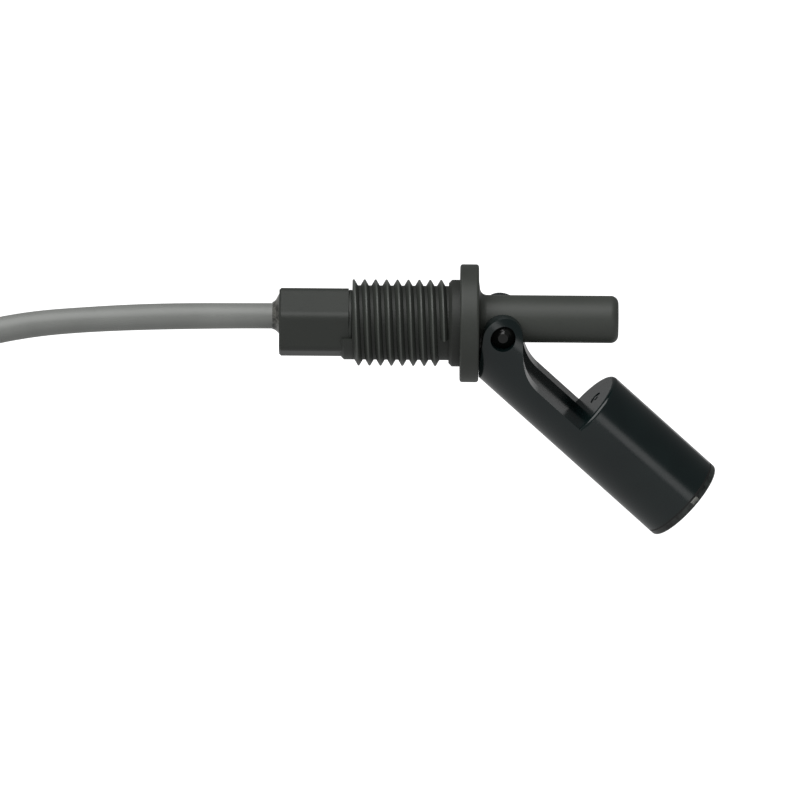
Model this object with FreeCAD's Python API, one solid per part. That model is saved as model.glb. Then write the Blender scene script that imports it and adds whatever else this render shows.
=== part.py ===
import FreeCAD, Part
import math
import os

from FreeCAD import Vector

os.makedirs("parts", exist_ok=True)

# Side-mounted float level switch, in millimetres. The origin is where the thread's axis meets
# the flange's sealing face. +X runs along the stem into the tank, and +Z is up.

# Mounting thread, M16 x 2, moulded with a wide root
thread_pitch = 2.0
thread_crest_radius = 7.9
thread_root_radius = 6.8
thread_crest_flat = 0.24
thread_foot_width = 1.5
thread_length = 17.65
thread_end_gap = 0.77
thread_sink = 0.3
thread_lead = 0.65

# Locating collar and flange
collar_radius = 7.95
collar_length = 2.05
collar_lead_in = 0.6
flange_radius = 10.8
flange_thickness = 3.45
flange_edge_radius = 0.5

# Stem
stem_radius = 4.33
stem_length = 25.55
stem_rise = 0.95
stem_tip_radius = 1.4
stem_root_radius = 1.3
stem_flare_radius = 7.1
stem_flare_height = 0.2

# Hexagonal tail
tail_length = 13.35
tail_across_flats = 11.7
tail_corner_radius = 1.6
tail_end_chamfer = 0.35
tail_ramp_length = 0.66
tail_shoulder_length = 1.47
tail_shoulder_top = -1.0
tail_neck_length = 0.65
tail_neck_radius = 5.75

# Bores for the cable and the reed
bore_radius = 4.4
bore_front_wall = 4.0
reed_bore_radius = 3.0
reed_bore_tip_wall = 1.8

# Hinge
hinge_reach = 4.41
hinge_drop = 1.12
trunnion_radius = 2.24
trunnion_fit = 0.06
trunnion_tip_radius = 0.9
trunnion_tip_length = 1.1
trunnion_recess = 0.6
shoulder_radius = 3.1
shoulder_gap = 0.2
float_hang_angle = 43.17

# Float and its arm, sizes measured from the hinge along and across the arm
float_radius = 8.35
float_axis_drop = 1.84
float_face_reach = 22.2
float_length = 24.5
float_wall = 1.2
float_edge_radius = 0.7
cap_thickness = 1.4
cap_edge_radius = 0.45
cap_spigot_length = 2.2
cap_spigot_wall = 1.0
cap_fit = 0.05
ear_radius = 3.6
fork_half_width = 4.7
rail_drop = 3.0
channel_drop = 3.85
neck_radius = 9.0
neck_angle = 45.0
heel_lean = 6.5
heel_stop_gap = 0.08
heel_stem_clearance = 1.1
gate_mark_radius = 1.25
gate_mark_depth = 0.15
gate_dot_radius = 0.4
gate_mark_rise = 3.2

# Magnet in the arm
magnet_radius = 2.0
magnet_length = 10.0
magnet_fit = 0.05
magnet_drop = 6.8

# Reed switch
glass_length = 14.0
glass_radius = 1.1
glass_wall = 0.3
glass_seal_length = 1.6
glass_drop = 1.45
glass_tip_gap = 4.0
glass_end_radius = 0.66
lead_radius = 0.28
blade_width = 1.1
blade_thickness = 0.22
blade_overlap = 1.0
contact_gap = 0.12
blade_root_length = 0.6
lead_inside_length = 1.0
lead_length_tail = 4.7
lead_length_tip = 2.4
tip_joint_reach = 2.16

# Cable and its two cores
cable_radius = 2.4
cable_rise = 1.18
sheath_entry = 7.0
core_radius = 0.85
core_spacing = 1.9
conductor_radius = 0.4
long_core_lift = 1.6
short_core_end_gap = 2.6
solder_radius = 0.62
solder_length = 1.8
solder_ball_radius = 0.75
sleeve_wall = 0.28
sleeve_overlap = 2.0
sleeve_end_gap = 1.2
ring_length = 1.1
ring_lip_radius = 2.5
ring_waist_place = 0.35
ring_waist_radius = 2.95
ring_waist_lift = 0.15
ring_foot_radius = 3.65
ring_foot_lift = 0.4

# Put-away cable: long turns two layers high with part of a third, and the stripped end on them
coil_inner_turn_radius = 14.4
coil_turn_pitch = 4.9
coil_straight = 51.0
coil_centre_x = -135.0
coil_centre_y = 10.9
coil_edge_radius = 1.6
top_run_length = 40.8
stripped_length = 36.0
stripped_spread = 2.2
tinned_length = 6.0
tie_width = 2.6
tie_thickness = 0.9
tie_offset = 21.0

# Surface that the put-away cable lies on, level with the float's lowest point
floor_z = -40.5

# Route of the cable from inside the tail to the coil
cable_route = [
    (-26.1, 0.0, 1.18),
    (-45.0, 0.0, 1.14),
    (-64.0, 0.0, 0.54),
    (-82.0, -0.3, -1.0),
    (-98.5, -2.2, -5.4),
    (-113.0, -5.6, -12.8),
    (-126.0, -8.5, -21.4),
    (-139.5, -9.2, -28.7),
    (-152.0, -8.6, -33.3),
]

# Places that follow from the sizes above
thread_back = -(collar_length + thread_length)
tail_end = thread_back - tail_length
stem_tip = flange_thickness + stem_length
hinge_x = flange_thickness + hinge_reach
hinge_z = stem_rise - hinge_drop
glass_tip = stem_tip - reed_bore_tip_wall - glass_tip_gap
glass_tail = glass_tip - glass_length
glass_z = stem_rise - glass_drop
sheath_end = tail_end + sheath_entry
pocket_radius = magnet_radius + magnet_fit
float_end_reach = float_face_reach + float_length


def revolve_x(points, axis_z=0.0):
    """Solid of revolution round an X axis at height axis_z, from a list of edges' points (x, r)."""
    corners = [Vector(x, 0, axis_z + r) for x, r in points]
    profile = Part.Face(Part.makePolygon(corners + corners[:1]))
    return profile.revolve(Vector(0, 0, axis_z), Vector(1, 0, 0), 360)


def rod_x(radius, start, end, y=0.0, z=0.0):
    """Cylinder along X from start to end."""
    return Part.makeCylinder(radius, end - start, Vector(start, y, z), Vector(1, 0, 0))


def arc_edge(a, b, c):
    """Circular edge from a through b to c."""
    return Part.Arc(a, b, c).toShape()


def bent_path(points):
    """Straight runs joined by tangent arcs, each as large as its two runs allow."""
    corners = [Vector(*p) for p in points]
    edges = []
    here = corners[0]
    radii = []
    for before, corner, after in zip(corners, corners[1:], corners[2:]):
        come = (corner - before).normalize()
        go = (after - corner).normalize()
        shorter = min(corner.distanceToPoint(before), corner.distanceToPoint(after))
        setback = 0.45 * shorter
        turn = come.getAngle(go)
        radius = setback / math.tan(turn / 2)
        arc_start = corner - come * setback
        arc_end = corner + go * setback
        inward = (go - come).normalize()
        middle = corner + inward * (radius / math.cos(turn / 2) - radius)
        edges.append(Part.LineSegment(here, arc_start).toShape())
        edges.append(arc_edge(arc_start, middle, arc_end))
        here = arc_end
        radii.append(radius)
    edges.append(Part.LineSegment(here, corners[-1]).toShape())
    return Part.Wire(edges), radii


def bent_rod(points, radius):
    """Round rod that follows bent_path."""
    path, radii = bent_path(points)
    start = Vector(*points[0])
    heading = Vector(*points[1]) - start
    section = Part.Wire(Part.makeCircle(radius, start, heading))
    return path.makePipeShell([section], True, False), path.Length, radii


def in_arm(x, z):
    """Turns a place beside the hinge, as the float hangs, into the arm's own frame (along, up)."""
    angle = math.radians(float_hang_angle)
    along = x * math.cos(angle) - z * math.sin(angle)
    up = x * math.sin(angle) + z * math.cos(angle)
    return along, up


def hang(shape):
    """Turns a piece from the arm's own frame to its place as the float hangs."""
    shape.rotate(Vector(0, 0, 0), Vector(0, 1, 0), float_hang_angle)
    shape.translate(Vector(hinge_x, 0, hinge_z))
    return shape


def thread_ridge():
    """Helical ridge of the thread round the X axis, a little sunk in the root."""
    flank = (thread_foot_width - thread_crest_flat) / 2
    slope = flank / (thread_crest_radius - thread_root_radius)
    half_foot = thread_foot_width / 2 + thread_sink * slope
    half_crest = thread_crest_flat / 2
    foot = thread_root_radius - thread_sink
    run_in = thread_foot_width / 2
    run = run_in + thread_length - thread_end_gap
    corners = [
        Vector(foot, 0, -half_foot),
        Vector(thread_crest_radius, 0, -half_crest),
        Vector(thread_crest_radius, 0, half_crest),
        Vector(foot, 0, half_foot),
    ]
    section = Part.makePolygon(corners + corners[:1])
    helix = Part.makeHelix(thread_pitch, run, thread_root_radius)
    ridge = Part.Wire(helix.Edges).makePipeShell([section], True, True)
    start_angle = -360 * (run_in - thread_lead) / thread_pitch
    ridge.rotate(Vector(0, 0, 0), Vector(0, 0, 1), start_angle)
    ridge.rotate(Vector(0, 0, 0), Vector(0, 1, 0), 90)
    ridge.translate(Vector(thread_back - run_in, 0, 0))
    return ridge


def hexagon_tail():
    """Hexagonal tail, a corner upwards, with a short round neck and a shoulder under the thread."""
    half_flats = tail_across_flats / 2
    corner_radius = half_flats / math.cos(math.radians(30))
    corners = []
    for i in range(6):
        angle = math.radians(90 + 60 * i)
        y = corner_radius * math.cos(angle)
        z = corner_radius * math.sin(angle)
        corners.append(Vector(tail_end, y, z))
    outline = Part.Face(Part.makePolygon(corners + corners[:1]))
    tail = outline.extrude(Vector(tail_length - tail_neck_length, 0, 0))
    long_edges = [e for e in tail.Edges if e.BoundBox.XLength > tail_length / 2]
    tail = tail.makeFillet(tail_corner_radius, long_edges)
    end_edges = [e for e in tail.Edges if abs(e.BoundBox.XMax - tail_end) < 1e-6]
    tail = tail.makeChamfer(tail_end_chamfer, end_edges)
    shoulder_back = thread_back - tail_shoulder_length
    shoulder = revolve_x([
        (shoulder_back - tail_ramp_length, 0),
        (shoulder_back - tail_ramp_length, thread_root_radius - tail_ramp_length),
        (shoulder_back, thread_root_radius),
        (thread_back + 1, thread_root_radius),
        (thread_back + 1, 0),
    ])
    span = 2 * thread_root_radius
    low_corner = Vector(thread_back - span / 2, -span / 2, tail_shoulder_top - span)
    below = Part.makeBox(span, span, span, low_corner)
    neck = rod_x(tail_neck_radius, thread_back - 2 * tail_neck_length, thread_back + 1)
    return tail.fuse([neck, shoulder.common(below)])


def turned_body():
    """Thread root, locating collar and flange, turned round the thread's axis."""
    rim = flange_edge_radius
    diagonal = rim * (1 - math.cos(math.radians(45)))
    back = Vector(0, 0, flange_radius - rim)
    back_top = Vector(rim, 0, flange_radius)
    front = Vector(flange_thickness, 0, flange_radius - rim)
    front_top = Vector(flange_thickness - rim, 0, flange_radius)
    lead_in_x = collar_lead_in - collar_length
    lead_in_r = collar_radius - collar_lead_in
    outline = [
        Vector(thread_back, 0, 0),
        Vector(thread_back, 0, thread_root_radius),
        Vector(-collar_length, 0, thread_root_radius),
        Vector(-collar_length, 0, lead_in_r),
        Vector(lead_in_x, 0, collar_radius),
        Vector(0, 0, collar_radius),
        back,
    ]
    edges = [Part.LineSegment(a, b).toShape() for a, b in zip(outline, outline[1:])]
    edges.append(arc_edge(back, Vector(diagonal, 0, flange_radius - diagonal), back_top))
    edges.append(Part.LineSegment(back_top, front_top).toShape())
    middle = Vector(flange_thickness - diagonal, 0, flange_radius - diagonal)
    edges.append(arc_edge(front_top, middle, front))
    centre = Vector(flange_thickness, 0, 0)
    edges.append(Part.LineSegment(front, centre).toShape())
    edges.append(Part.LineSegment(centre, outline[0]).toShape())
    profile = Part.Face(Part.Wire(edges))
    return profile.revolve(Vector(0, 0, 0), Vector(1, 0, 0), 360)


def stem():
    """Round stem with a flared root and a rounded tip, on its own axis above the thread's."""
    half = math.cos(math.radians(45))
    root = stem_root_radius
    tip = stem_tip_radius
    foot_x = flange_thickness + stem_flare_height
    foot_r = stem_radius + root
    flare = Vector(flange_thickness, 0, stem_rise + stem_flare_radius)
    foot = Vector(foot_x, 0, stem_rise + foot_r)
    bend = Vector(foot_x + root * (1 - half), 0, stem_rise + foot_r - root * half)
    neck = Vector(foot_x + root, 0, stem_rise + stem_radius)
    shoulder = Vector(stem_tip - tip, 0, stem_rise + stem_radius)
    round_x = stem_tip - tip + tip * half
    round_end = Vector(round_x, 0, stem_rise + stem_radius - tip + tip * half)
    nose = Vector(stem_tip, 0, stem_rise + stem_radius - tip)
    centre = Vector(stem_tip, 0, stem_rise)
    back = Vector(0.5 * flange_thickness, 0, stem_rise)
    back_rim = Vector(0.5 * flange_thickness, 0, stem_rise + stem_flare_radius)
    edges = [
        Part.LineSegment(back, back_rim).toShape(),
        Part.LineSegment(back_rim, flare).toShape(),
        Part.LineSegment(flare, foot).toShape(),
        arc_edge(foot, bend, neck),
        Part.LineSegment(neck, shoulder).toShape(),
        arc_edge(shoulder, round_end, nose),
        Part.LineSegment(nose, centre).toShape(),
        Part.LineSegment(centre, back).toShape(),
    ]
    profile = Part.Face(Part.Wire(edges))
    return profile.revolve(Vector(0, 0, stem_rise), Vector(1, 0, 0), 360)


def trunnions():
    """Pair of hinge pins with shoulders and tapered, rounded tips."""
    ear_face = math.sqrt(float_radius ** 2 - float_axis_drop ** 2)
    tip = ear_face - trunnion_recess
    taper_start = tip - trunnion_tip_length
    shoulder_face = fork_half_width - shoulder_gap
    tip_round = 0.5 * trunnion_tip_radius
    profile = Part.Face(Part.makePolygon([
        Vector(hinge_x, 0, hinge_z),
        Vector(hinge_x + shoulder_radius, 0, hinge_z),
        Vector(hinge_x + shoulder_radius, shoulder_face, hinge_z),
        Vector(hinge_x + trunnion_radius, shoulder_face, hinge_z),
        Vector(hinge_x + trunnion_radius, taper_start, hinge_z),
        Vector(hinge_x + trunnion_tip_radius + tip_round, tip - tip_round, hinge_z),
        Vector(hinge_x + trunnion_tip_radius, tip, hinge_z),
        Vector(hinge_x, tip, hinge_z),
        Vector(hinge_x, 0, hinge_z),
    ]))
    pin = profile.revolve(Vector(hinge_x, 0, hinge_z), Vector(0, 1, 0), 360)
    other = pin.mirror(Vector(0, 0, 0), Vector(0, 1, 0))
    return pin.fuse(other)


def bore_space():
    """Blind space for the cable and the reed, with the narrow reed bore on the stem's axis."""
    wide = rod_x(bore_radius, tail_end, -bore_front_wall)
    narrow = rod_x(reed_bore_radius, -bore_front_wall - 1, stem_tip - reed_bore_tip_wall, 0, stem_rise)
    return wide.fuse(narrow)


def housing():
    """One moulding: tail, thread, collar, flange, stem and trunnions."""
    body = turned_body().fuse([hexagon_tail(), stem(), trunnions()])
    body = body.removeSplitter()
    ridge = thread_ridge()
    room = 4 * thread_pitch
    side = 4 * thread_crest_radius
    trim = Part.makeBox(room, side, side, Vector(thread_back - room, -side / 2, -side / 2))
    body = body.fuse(ridge.cut(trim))
    return body.cut(bore_space())


def glass_envelope():
    """Outside form of the reed's glass."""
    outer = rod_x(glass_radius, glass_tail, glass_tip, 0, glass_z)
    rims = [e for e in outer.Edges if e.Curve.TypeId == "Part::GeomCircle"]
    return outer.makeFillet(glass_end_radius, rims)


def reed_glass():
    """Hollow glass capsule with solid seals round the leads."""
    outer = glass_envelope()
    start = glass_tail + glass_seal_length
    end = glass_tip - glass_seal_length
    inner = rod_x(glass_radius - glass_wall, start, end, 0, glass_z)
    return outer.cut(inner)


def reed_blade(lead_start, blade_end, side):
    """Round lead and flat contact blade, from outside the glass to past its middle."""
    inside = glass_seal_length + lead_inside_length
    middle = glass_z + side * (blade_thickness + contact_gap) / 2
    if lead_start < glass_tail:
        lead = rod_x(lead_radius, lead_start, glass_tail + inside, 0, glass_z)
        blade_start = glass_tail + inside - blade_root_length
        length = blade_end - blade_start
        corner = Vector(blade_start, -blade_width / 2, middle - blade_thickness / 2)
    else:
        lead = rod_x(lead_radius, glass_tip - inside, lead_start, 0, glass_z)
        length = glass_tip - inside + blade_root_length - blade_end
        corner = Vector(blade_end, -blade_width / 2, middle - blade_thickness / 2)
    return lead.fuse(Part.makeBox(length, blade_width, blade_thickness, corner)).removeSplitter()


def write(name, shape):
    """Writes one piece and prints what it is."""
    if len(shape.Solids) == 1:
        shape = shape.Solids[0]
    print(name, shape.ShapeType, shape.isValid(), round(shape.Volume, 2), len(shape.Faces))
    shape.exportStep("parts/" + name + ".step")


def arm_outline():
    """Side view of the arm and float: boss, neck, rail, heel and the whole float behind its face."""
    neck = math.radians(neck_angle)
    boss_top = Vector(ear_radius * math.cos(neck), 0, ear_radius * math.sin(neck))
    neck_end_up = neck_radius * (1 - math.cos(neck)) - rail_drop
    fall = boss_top.z - neck_end_up
    neck_start = Vector(boss_top.x + fall / math.tan(neck), 0, neck_end_up)
    rail_start = Vector(neck_start.x + neck_radius * math.sin(neck), 0, -rail_drop)
    half = neck / 2
    neck_middle = Vector(
        rail_start.x - neck_radius * math.sin(half),
        0,
        neck_radius * (1 - math.cos(half)) - rail_drop,
    )
    lean = math.radians(heel_lean)
    stop = heel_stop_gap - hinge_reach
    corner_z = (ear_radius + stop * math.cos(lean)) / math.sin(lean)
    heel_x, heel_up = in_arm(-ear_radius * math.cos(lean), ear_radius * math.sin(lean))
    corner_x, corner_up = in_arm(stop, corner_z)
    reach = 2 * float_radius
    foot_x, foot_up = in_arm(stop, corner_z - reach)
    heel = Vector(heel_x, 0, heel_up)
    corner = Vector(corner_x, 0, corner_up)
    foot = Vector(foot_x, 0, foot_up)
    crown = Vector(-ear_radius * math.cos(neck), 0, ear_radius * math.sin(neck))
    face_low = Vector(float_face_reach, 0, -rail_drop)
    face_high = Vector(float_face_reach, 0, reach)
    end_high = Vector(float_end_reach, 0, reach)
    end_low = Vector(float_end_reach, 0, foot_up)
    points = [foot, corner, heel]
    edges = [Part.LineSegment(a, b).toShape() for a, b in zip(points, points[1:])]
    edges.append(arc_edge(heel, crown, boss_top))
    edges.append(Part.LineSegment(boss_top, neck_start).toShape())
    edges.append(arc_edge(neck_start, neck_middle, rail_start))
    points = [rail_start, face_low, face_high, end_high, end_low, foot]
    edges += [Part.LineSegment(a, b).toShape() for a, b in zip(points, points[1:])]
    return Part.Face(Part.Wire(edges))


def fork_slot():
    """Space between the ears and over the channel floor, which clears the stem over the travel."""
    reach = 2 * float_radius
    stem_under = hinge_drop - stem_radius
    hang_floor = stem_under - heel_stem_clearance
    angle = math.radians(float_hang_angle)
    bend_x = (hang_floor * math.cos(angle) + channel_drop) / -math.sin(angle)
    bend = Vector(*in_arm_point(bend_x, hang_floor))
    far = Vector(*in_arm_point(bend_x - reach, hang_floor))
    points = [
        bend,
        Vector(float_face_reach, 0, -channel_drop),
        Vector(float_face_reach, 0, reach),
        Vector(-reach, 0, reach),
        far,
    ]
    side = Part.Face(Part.makePolygon(points + points[:1]))
    side.translate(Vector(0, -fork_half_width, 0))
    return side.extrude(Vector(0, 2 * fork_half_width, 0))


def in_arm_point(x, z):
    """in_arm as a point in the arm's middle plane."""
    along, up = in_arm(x, z)
    return along, 0, up


def float_arm():
    """One moulding: forked arm and hollow float, open at the cap end, with the magnet's pocket."""
    blank = rod_x(float_radius, -2 * ear_radius, float_end_reach, 0, -float_axis_drop)
    outline = arm_outline()
    outline.translate(Vector(0, -2 * float_radius, 0))
    body = blank.common(outline.extrude(Vector(0, 4 * float_radius, 0)))
    rims = [
        e for e in body.Edges
        if abs(e.BoundBox.XMin - float_face_reach) < 1e-4
        and abs(e.BoundBox.XMax - float_face_reach) < 1e-4
        and e.Curve.TypeId == "Part::GeomCircle"
    ]
    body = body.makeFillet(float_edge_radius, rims)
    body = body.cut(fork_slot())
    hole = Part.makeCylinder(
        trunnion_radius + trunnion_fit,
        4 * float_radius,
        Vector(0, -2 * float_radius, 0),
        Vector(0, 1, 0),
    )
    chamber_start = float_face_reach + float_wall
    chamber = rod_x(float_radius - float_wall, chamber_start, float_end_reach + 1, 0, -float_axis_drop)
    pocket_end = chamber_start - magnet_length - magnet_fit
    pocket = rod_x(pocket_radius, pocket_end, chamber_start + 1, 0, -magnet_drop)
    mark_z = gate_mark_rise - float_axis_drop
    mark = rod_x(gate_mark_radius, float_face_reach - 1, float_face_reach + gate_mark_depth, 0, mark_z)
    dot = rod_x(gate_dot_radius, float_face_reach - 1, float_face_reach + 1, 0, mark_z)
    return body.cut([hole, chamber, pocket, mark.cut(dot)])


def float_cap():
    """Disc that closes the float, with a spigot inside the wall and a rounded rim."""
    outer_end = float_end_reach + cap_thickness
    spigot_radius = float_radius - float_wall - cap_fit
    rim = cap_edge_radius
    cap = revolve_x([
        (float_end_reach, 0),
        (float_end_reach, spigot_radius - cap_spigot_wall),
        (float_end_reach - cap_spigot_length, spigot_radius - cap_spigot_wall),
        (float_end_reach - cap_spigot_length, spigot_radius),
        (float_end_reach, spigot_radius),
        (float_end_reach, float_radius),
        (outer_end, float_radius),
        (outer_end, 0),
    ], -float_axis_drop)
    rims = [
        e for e in cap.Edges
        if e.Curve.TypeId == "Part::GeomCircle"
        and e.Curve.Radius > float_radius - 1e-6
        and e.BoundBox.XMax > outer_end - 1e-4
    ]
    return cap.makeFillet(rim, rims)


def magnet():
    """Cylindrical magnet in the arm's pocket."""
    end = float_face_reach + float_wall
    return rod_x(magnet_radius, end - magnet_length, end, 0, -magnet_drop)


def bore_cross(far_z, side):
    """Route of one core from the cable's end to its own height far_z in the reed bore."""
    spread = side * core_spacing / 2
    crossing = -bore_front_wall
    first = sheath_end + 0.4 * (crossing - sheath_end)
    return [
        (sheath_end, spread, cable_rise),
        (first, 0.7 * spread, 0.6 * cable_rise + 0.4 * far_z),
        (crossing, 0, far_z - 0.02 * side),
    ]


def long_core_route():
    """Core that passes over the glass to the far lead."""
    height = stem_rise + long_core_lift
    return bore_cross(height, 1) + [(glass_tip + 0.2, 0, height)]


def short_core_route():
    """Core that ends before the near lead, in line with the glass."""
    end = glass_tail - lead_length_tail - short_core_end_gap
    return bore_cross(glass_z, -1) + [(end, 0, glass_z)]


def long_wire():
    """Conductor of the long core, bent down on to the far lead."""
    route = long_core_route()
    joint_x = glass_tip + tip_joint_reach
    height = route[-1][2]
    route[-1] = (joint_x, 0, height)
    route.append((joint_x, 0, glass_z))
    return bent_rod(route, conductor_radius)[0]


def short_wire():
    """Conductor of the short core, butted against the near lead."""
    route = short_core_route()
    route[-1] = (glass_tail - lead_length_tail, 0, glass_z)
    return bent_rod(route, conductor_radius)[0]


def racetrack(radius, low, high):
    """Long round-ended block with half circles of that radius, between two heights."""
    half = coil_straight / 2
    middle = Part.makeBox(coil_straight, 2 * radius, high - low, Vector(-half, -radius, low))
    ends = [Part.makeCylinder(radius, high - low, Vector(x, 0, low)) for x in (-half, half)]
    block = middle.fuse(ends).removeSplitter()
    block.translate(Vector(coil_centre_x, coil_centre_y, 0))
    return block


def cable_coil():
    """Outer form of the wound cable: two layers of two turns, with part of a turn on top."""
    inner = coil_inner_turn_radius - cable_radius
    outer = coil_inner_turn_radius + coil_turn_pitch + cable_radius
    middle = coil_inner_turn_radius + coil_turn_pitch / 2
    top = floor_z + 4 * cable_radius
    rim = racetrack(outer, floor_z, top)
    rim_edges = [e for e in rim.Edges if e.BoundBox.ZLength < 1e-6]
    rim = rim.makeFillet(coil_edge_radius, rim_edges)
    block = rim.cut(racetrack(inner, floor_z - 1, top + 1))
    third = racetrack(middle, top - cable_radius, top + 2 * cable_radius)
    third = third.cut(racetrack(inner, floor_z - 1, top + 3 * cable_radius))
    reach = 2 * outer
    half_end = coil_centre_x - coil_straight / 2
    low_y = coil_centre_y - reach
    far_end = Part.makeBox(reach, 2 * reach, reach, Vector(half_end - reach, low_y, floor_z))
    near_run = Part.makeBox(top_run_length + 1, reach, reach, Vector(half_end - 1, low_y, floor_z))
    return block.fuse(third.common(far_end.fuse(near_run))).removeSplitter()


def stripped_core(side):
    """One bare core beyond the end of the sheath, lying on the turns, and its tinned end."""
    start = coil_centre_x - coil_straight / 2
    y = coil_centre_y + coil_inner_turn_radius
    rest = floor_z + 4 * cable_radius + core_radius
    spread = side * core_spacing / 2
    length = stripped_length
    route = [
        (start, y + spread, rest + 0.5),
        (start + 0.3 * length, y + spread, rest + 0.02),
        (start + 0.65 * length, y + 1.4 * spread, rest),
        (start + length, y + side * stripped_spread, rest),
    ]
    tip = (start + length + tinned_length, y + side * (stripped_spread + 0.4), rest)
    core = bent_rod(route, core_radius)[0]
    end = Vector(*route[-1])
    heading = (end - Vector(*route[-2])).normalize()
    tinned = Part.makeCylinder(conductor_radius, tinned_length, end, heading)
    return core, tinned


def upper_cross_edges(block):
    """Edges along X at the top of a block."""
    return [
        e for e in block.Edges
        if e.BoundBox.XLength > tie_width / 2
        and e.BoundBox.ZMin > block.BoundBox.ZMax - tie_thickness
    ]


def coil_tie():
    """Flat tie round the two layers of turns, clear of the stripped end."""
    inner = coil_inner_turn_radius - cable_radius
    outer = coil_inner_turn_radius + coil_turn_pitch + cable_radius
    x = coil_centre_x + tie_offset
    near = coil_centre_y + inner
    width = outer - inner
    height = 4 * cable_radius
    band = tie_thickness
    corner = Vector(x - tie_width / 2, near - band, floor_z)
    box = Part.makeBox(tie_width, width + 2 * band, height + band, corner)
    box = box.makeFillet(2 * band, upper_cross_edges(box))
    hole = Part.makeBox(
        2 * tie_width,
        width,
        height - band,
        Vector(x - tie_width, near, floor_z + band),
    )
    hole = hole.makeFillet(1.2 * band, upper_cross_edges(hole))
    return box.cut(hole)


def inner_pieces():
    """Everything potted in the housing, by name."""
    joint_tail = glass_tail - lead_length_tail
    middle = (glass_tail + glass_tip) / 2
    tail_blade = reed_blade(joint_tail, middle + blade_overlap / 2, 1)
    tip_blade = reed_blade(glass_tip + lead_length_tip, middle - blade_overlap / 2, -1)
    blades = tail_blade.fuse(tip_blade)
    glass = reed_glass().cut(blades)
    wire_long = long_wire().cut(tip_blade)
    wire_short = short_wire()
    core_long = bent_rod(long_core_route(), core_radius)[0].cut(wire_long)
    core_short = bent_rod(short_core_route(), core_radius)[0].cut(wire_short)
    half = solder_length / 2
    solder_tail = rod_x(solder_radius, joint_tail - half, joint_tail + half, 0, glass_z)
    rims = [e for e in solder_tail.Edges if e.Curve.TypeId == "Part::GeomCircle"]
    solder_tail = solder_tail.makeFillet(0.5 * solder_radius, rims)
    solder_tail = solder_tail.cut([wire_short, tail_blade])
    ball_middle = Vector(glass_tip + tip_joint_reach, 0, glass_z)
    solder_tip = Part.makeSphere(solder_ball_radius, ball_middle)
    solder_tip = solder_tip.cut([wire_long, tip_blade])
    sleeve_start = joint_tail - short_core_end_gap - sleeve_overlap
    sleeve_end = joint_tail + half + sleeve_end_gap
    sleeve = rod_x(core_radius + sleeve_wall, sleeve_start, sleeve_end, 0, glass_z)
    sleeve = sleeve.cut([core_short, wire_short, solder_tail, tail_blade])
    return {
        "reed_glass": glass,
        "reed_blade_tail": tail_blade,
        "reed_blade_tip": tip_blade,
        "core_long": core_long,
        "core_short": core_short,
        "wire_long": wire_long,
        "wire_short": wire_short,
        "solder_tail": solder_tail,
        "solder_tip": solder_tip,
        "sleeve_tail": sleeve,
    }


def resin_ring():
    """Hollow-sided ring of resin that has crept up the cable, more above it than below."""
    places = [
        (0, ring_foot_radius, ring_foot_lift),
        (ring_waist_place, ring_waist_radius, ring_waist_lift),
        (ring_length, ring_lip_radius, 0),
    ]
    circles = []
    for back, radius, lift in places:
        centre = Vector(tail_end - back, 0, cable_rise + lift)
        circles.append(Part.Wire(Part.makeCircle(radius, centre, Vector(-1, 0, 0))))
    return Part.makeLoft(circles, True, False)


def potting(pieces, sheath):
    """Resin that fills the bores round everything in them, with its ring round the cable."""
    fill = bore_space().fuse(resin_ring())
    return fill.cut([glass_envelope(), sheath] + list(pieces.values()))


def cable_sheath(coil):
    """Round cable from inside the tail to the coil."""
    tube, length, radii = bent_rod(cable_route, cable_radius)
    section = math.pi * cable_radius ** 2
    print("cable length", round(length, 1), "bends", [round(r) for r in radii])
    print("cable volume share", round(tube.Volume / (section * length), 4))
    return tube.cut(coil)


if __name__ == "__main__":
    tie = coil_tie()
    coil = cable_coil().cut(tie)
    sheath = cable_sheath(coil)
    inside = inner_pieces()
    write("housing", housing())
    write("potting", potting(inside, sheath))
    for piece_name, piece in inside.items():
        write(piece_name, piece)
    write("cable_sheath", sheath)
    write("cable_coil", coil)
    write("coil_tie", tie)
    for letter, core_side in (("a", -1), ("b", 1)):
        bare_core, tinned_end = stripped_core(core_side)
        write("bare_core_" + letter, bare_core)
        write("tinned_end_" + letter, tinned_end)
    write("float_arm", hang(float_arm()))
    write("float_cap", hang(float_cap()))
    write("magnet", hang(magnet()))
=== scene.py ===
"""Looks of the side-mounted float level switch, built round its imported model, in metres."""
import logging
import math
from collections.abc import Callable
from dataclasses import dataclass, field
from enum import Enum

import bmesh
import bpy
from mathutils import Matrix, Vector


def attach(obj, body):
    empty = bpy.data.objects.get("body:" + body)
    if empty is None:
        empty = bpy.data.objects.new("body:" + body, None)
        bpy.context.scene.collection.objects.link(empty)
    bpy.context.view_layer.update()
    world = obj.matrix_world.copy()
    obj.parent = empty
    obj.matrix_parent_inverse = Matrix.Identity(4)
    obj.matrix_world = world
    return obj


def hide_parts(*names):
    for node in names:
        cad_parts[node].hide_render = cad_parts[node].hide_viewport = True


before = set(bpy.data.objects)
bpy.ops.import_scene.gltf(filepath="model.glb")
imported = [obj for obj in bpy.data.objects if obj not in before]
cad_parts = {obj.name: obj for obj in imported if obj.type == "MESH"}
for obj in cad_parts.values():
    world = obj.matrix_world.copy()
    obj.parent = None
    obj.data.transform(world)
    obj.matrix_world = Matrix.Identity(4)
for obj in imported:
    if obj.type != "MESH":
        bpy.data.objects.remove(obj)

MM = 0.001
LOG = logging.getLogger("float_switch")
FLOOR_Z = -40.5
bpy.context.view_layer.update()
STREAK_DENSITY = 2600.0
SCRATCH_RANGE = (0.64, 0.74)
FACING = 0.9

Place = tuple[float, float, float]
Colour = tuple[float, float, float, float]


class Body(Enum):
    """The two rigid bodies that pieces ride on."""

    SWITCH = "switch_body"
    FLOAT = "float"


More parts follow.
